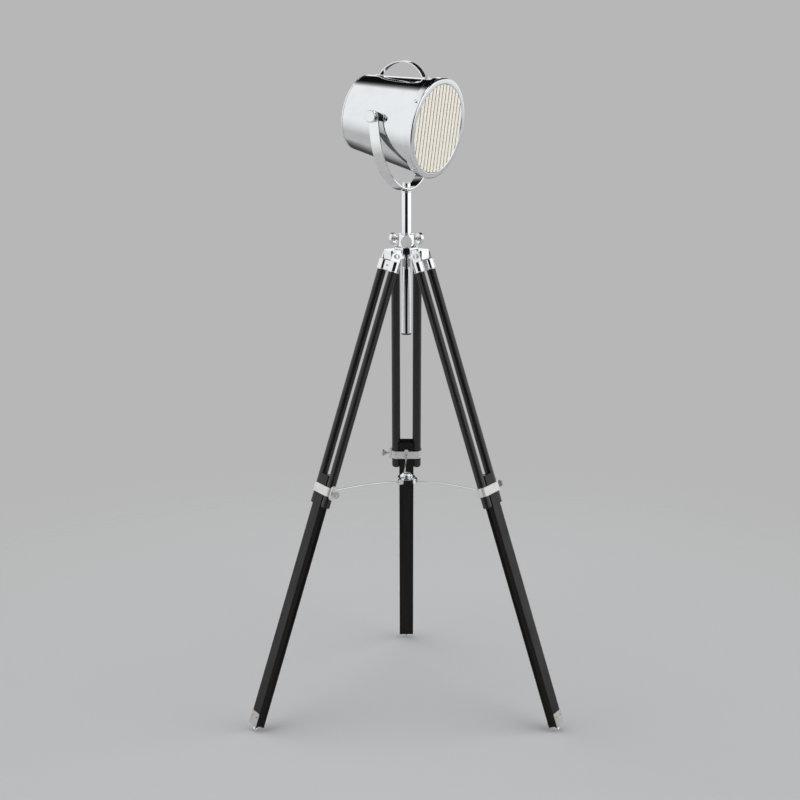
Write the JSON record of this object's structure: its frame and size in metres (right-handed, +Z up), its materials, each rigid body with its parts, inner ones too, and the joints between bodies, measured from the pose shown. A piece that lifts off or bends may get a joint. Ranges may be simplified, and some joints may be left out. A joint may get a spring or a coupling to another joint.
{
  "type": "tripod floor lamp",
  "caption": "Searchlight floor lamp: tilting drum head in a U yoke on a sliding column, over a folding tripod of telescopic wooden legs with a rod spreader.",
  "frame": {"origin": "on the floor, at the middle of the footprint's box; the column's axis stands 92.4 mm in front of it, towards -Y", "axes": "+Z up along the column; one leg points back along +Y, the other two forward to either side; the drum faces forward and to +X"},
  "size_m": [0.7086, 0.6136, 1.4705],
  "materials": {
    "chrome": "mirror polished",
    "satin_chrome": "satin",
    "black_wood": "black satin lacquer over wood grain",
    "black_plastic": "moulded",
    "reflector_aluminium": "spun, bright",
    "holder_plastic": "moulded",
    "opal": "opal",
    "ribbed_glass": "reeded"
  },
  "bodies": {
    "crown": {"crown": "chrome", "column_clamp": "chrome"},
    "clamp_knob_front": {"clamp_knob_front": "chrome"},
    "clamp_knob_right": {"clamp_knob_right": "chrome"},
    "clamp_knob_left": {"clamp_knob_left": "chrome"},
    "column": {"column": "chrome", "column_end_bush": "black_plastic", "yoke_nut": "chrome"},
    "yoke": {"yoke": "chrome"},
    "head": {"drum_shell": "chrome", "back_cover": "chrome", "rim_bezel": "chrome", "ribbed_lens": "ribbed_glass", "reflector": "reflector_aluminium", "lamp_holder": "holder_plastic", "bulb": "opal", "carry_handle": "chrome", "handle_screw_rear": "chrome", "handle_screw_front": "chrome", "rim_screw_upper_near": "chrome", "rim_screw_lower_near": "chrome", "rim_screw_lower_far": "chrome", "rim_screw_upper_far": "chrome", "cable_gland": "black_plastic", "pivot_bush_near": "black_plastic", "pivot_bush_far": "black_plastic"},
    "tilt_knob_near": {"tilt_knob_near": "chrome"},
    "tilt_knob_far": {"tilt_knob_far": "chrome"},
    "leg_rear": {"leg_bracket_rear": "chrome", "hinge_bolt_rear": "chrome", "leg_rod_a_rear": "black_wood", "leg_rod_b_rear": "black_wood", "collar_rear": "satin_chrome"},
    "lower_leg_rear": {"lower_bar_rear": "black_wood", "foot_plate_rear": "satin_chrome", "ball_foot_rear": "chrome"},
    "collar_knob_rear": {"collar_knob_rear": "satin_chrome"},
    "spreader_rod_rear": {"spreader_rod_rear": "chrome"},
    "leg_left": {"leg_bracket_left": "chrome", "hinge_bolt_left": "chrome", "leg_rod_a_left": "black_wood", "leg_rod_b_left": "black_wood", "collar_left": "satin_chrome"},
    "lower_leg_left": {"lower_bar_left": "black_wood", "foot_plate_left": "satin_chrome", "ball_foot_left": "chrome"},
    "collar_knob_left": {"collar_knob_left": "satin_chrome"},
    "spreader_rod_left": {"spreader_rod_left": "chrome"},
    "leg_right": {"leg_bracket_right": "chrome", "hinge_bolt_right": "chrome", "leg_rod_a_right": "black_wood", "leg_rod_b_right": "black_wood", "collar_right": "satin_chrome"},
    "lower_leg_right": {"lower_bar_right": "black_wood", "foot_plate_right": "satin_chrome", "ball_foot_right": "chrome"},
    "collar_knob_right": {"collar_knob_right": "satin_chrome"},
    "spreader_rod_right": {"spreader_rod_right": "chrome"},
    "spreader_hub": {"spreader_hub": "chrome", "hub_cap": "chrome"}
  },
  "joints": [
    {"name": "clamp_knob_front_turn", "type": "hinge", "parent": "crown", "child": "clamp_knob_front", "pos_m": [0, -0.12236, 1.0825], "axis": [0, -1, 0], "range_deg": [0, 360]},
    {"name": "clamp_knob_right_turn", "type": "hinge", "parent": "crown", "child": "clamp_knob_right", "pos_m": [0.02598, -0.07736, 1.0825], "axis": [0.866, 0.5, 0], "range_deg": [0, 360]},
    {"name": "clamp_knob_left_turn", "type": "hinge", "parent": "crown", "child": "clamp_knob_left", "pos_m": [-0.02598, -0.07736, 1.0825], "axis": [-0.866, 0.5, 0], "range_deg": [0, 360]},
    {"name": "column_height", "type": "slide", "parent": "crown", "child": "column", "axis": [0, 0, 1], "range_m": [-0.09, 0.15]},
    {"name": "yoke_pan", "type": "hinge", "parent": "column", "child": "yoke", "pos_m": [0, -0.09236, 1.194], "axis": [0, 0, 1], "range_deg": [-170, 170]},
    {"name": "head_tilt", "type": "hinge", "parent": "yoke", "child": "head", "pos_m": [-0.0158, -0.08249, 1.35754], "axis": [-0.5299, -0.848, 0], "range_deg": [-18, 75]},
    {"name": "tilt_knob_near_turn", "type": "hinge", "parent": "yoke", "child": "tilt_knob_near", "pos_m": [-0.07409, -0.17577, 1.35754], "axis": [-0.5299, -0.848, 0], "range_deg": [0, 360]},
    {"name": "tilt_knob_far_turn", "type": "hinge", "parent": "yoke", "child": "tilt_knob_far", "pos_m": [0.04249, 0.0108, 1.35754], "axis": [0.5299, 0.848, 0], "range_deg": [0, 360]},
    {"name": "leg_rear_fold", "type": "hinge", "parent": "crown", "child": "leg_rear", "pos_m": [0, -0.05526, 1.05], "axis": [-1, 0, 0], "range_deg": [0, 15.5]},
    {"name": "lower_leg_rear_slide", "type": "slide", "parent": "leg_rear", "child": "lower_leg_rear", "axis": [0, -0.3206, 0.9472], "range_m": [-0.02, 0.42]},
    {"name": "collar_knob_rear_turn", "type": "hinge", "parent": "leg_rear", "child": "collar_knob_rear", "pos_m": [-0.05, 0.11803, 0.53803], "axis": [-1, 0, 0], "range_deg": [0, 360]},
    {"name": "spreader_rod_rear_hinge", "type": "hinge", "parent": "leg_rear", "child": "spreader_rod_rear", "pos_m": [0, 0.09909, 0.53162], "axis": [1, 0, 0], "range_deg": [0, 97]},
    {"name": "leg_left_fold", "type": "hinge", "parent": "crown", "child": "leg_left", "pos_m": [-0.03213, -0.11091, 1.05], "axis": [0.5, -0.866, 0], "range_deg": [0, 15.5]},
    {"name": "lower_leg_left_slide", "type": "slide", "parent": "leg_left", "child": "lower_leg_left", "axis": [0.2777, 0.1603, 0.9472], "range_m": [-0.02, 0.42]},
    {"name": "collar_knob_left_turn", "type": "hinge", "parent": "leg_left", "child": "collar_knob_left", "pos_m": [-0.1572, -0.24086, 0.53803], "axis": [0.5, -0.866, 0], "range_deg": [0, 360]},
    {"name": "spreader_rod_left_hinge", "type": "hinge", "parent": "leg_left", "child": "spreader_rod_left", "pos_m": [-0.1658, -0.18809, 0.53162], "axis": [-0.5, 0.866, 0], "range_deg": [0, 97]},
    {"name": "leg_right_fold", "type": "hinge", "parent": "crown", "child": "leg_right", "pos_m": [0.03213, -0.11091, 1.05], "axis": [0.5, 0.866, 0], "range_deg": [0, 15.5]},
    {"name": "lower_leg_right_slide", "type": "slide", "parent": "leg_right", "child": "lower_leg_right", "axis": [-0.2777, 0.1603, 0.9472], "range_m": [-0.02, 0.42]},
    {"name": "collar_knob_right_turn", "type": "hinge", "parent": "leg_right", "child": "collar_knob_right", "pos_m": [0.2072, -0.15426, 0.53803], "axis": [0.5, 0.866, 0], "range_deg": [0, 360]},
    {"name": "spreader_rod_right_hinge", "type": "hinge", "parent": "leg_right", "child": "spreader_rod_right", "pos_m": [0.1658, -0.18809, 0.53162], "axis": [-0.5, -0.866, 0], "range_deg": [0, 97]},
    {"name": "spreader_hub_slide", "type": "slide", "parent": "crown", "child": "spreader_hub", "axis": [0, 0, 1], "range_m": [-0.1931, 0]}
  ],
  "couplings": [
    {"joint": "spreader_rod_rear_hinge", "follows": "leg_rear_fold", "ratio": 6.1588},
    {"joint": "leg_left_fold", "follows": "leg_rear_fold", "ratio": 1},
    {"joint": "spreader_rod_left_hinge", "follows": "leg_rear_fold", "ratio": 6.1588},
    {"joint": "leg_right_fold", "follows": "leg_rear_fold", "ratio": 1},
    {"joint": "spreader_rod_right_hinge", "follows": "leg_rear_fold", "ratio": 6.1588},
    {"joint": "spreader_hub_slide", "follows": "leg_rear_fold", "m_per_rad": -0.69884}
  ]
}
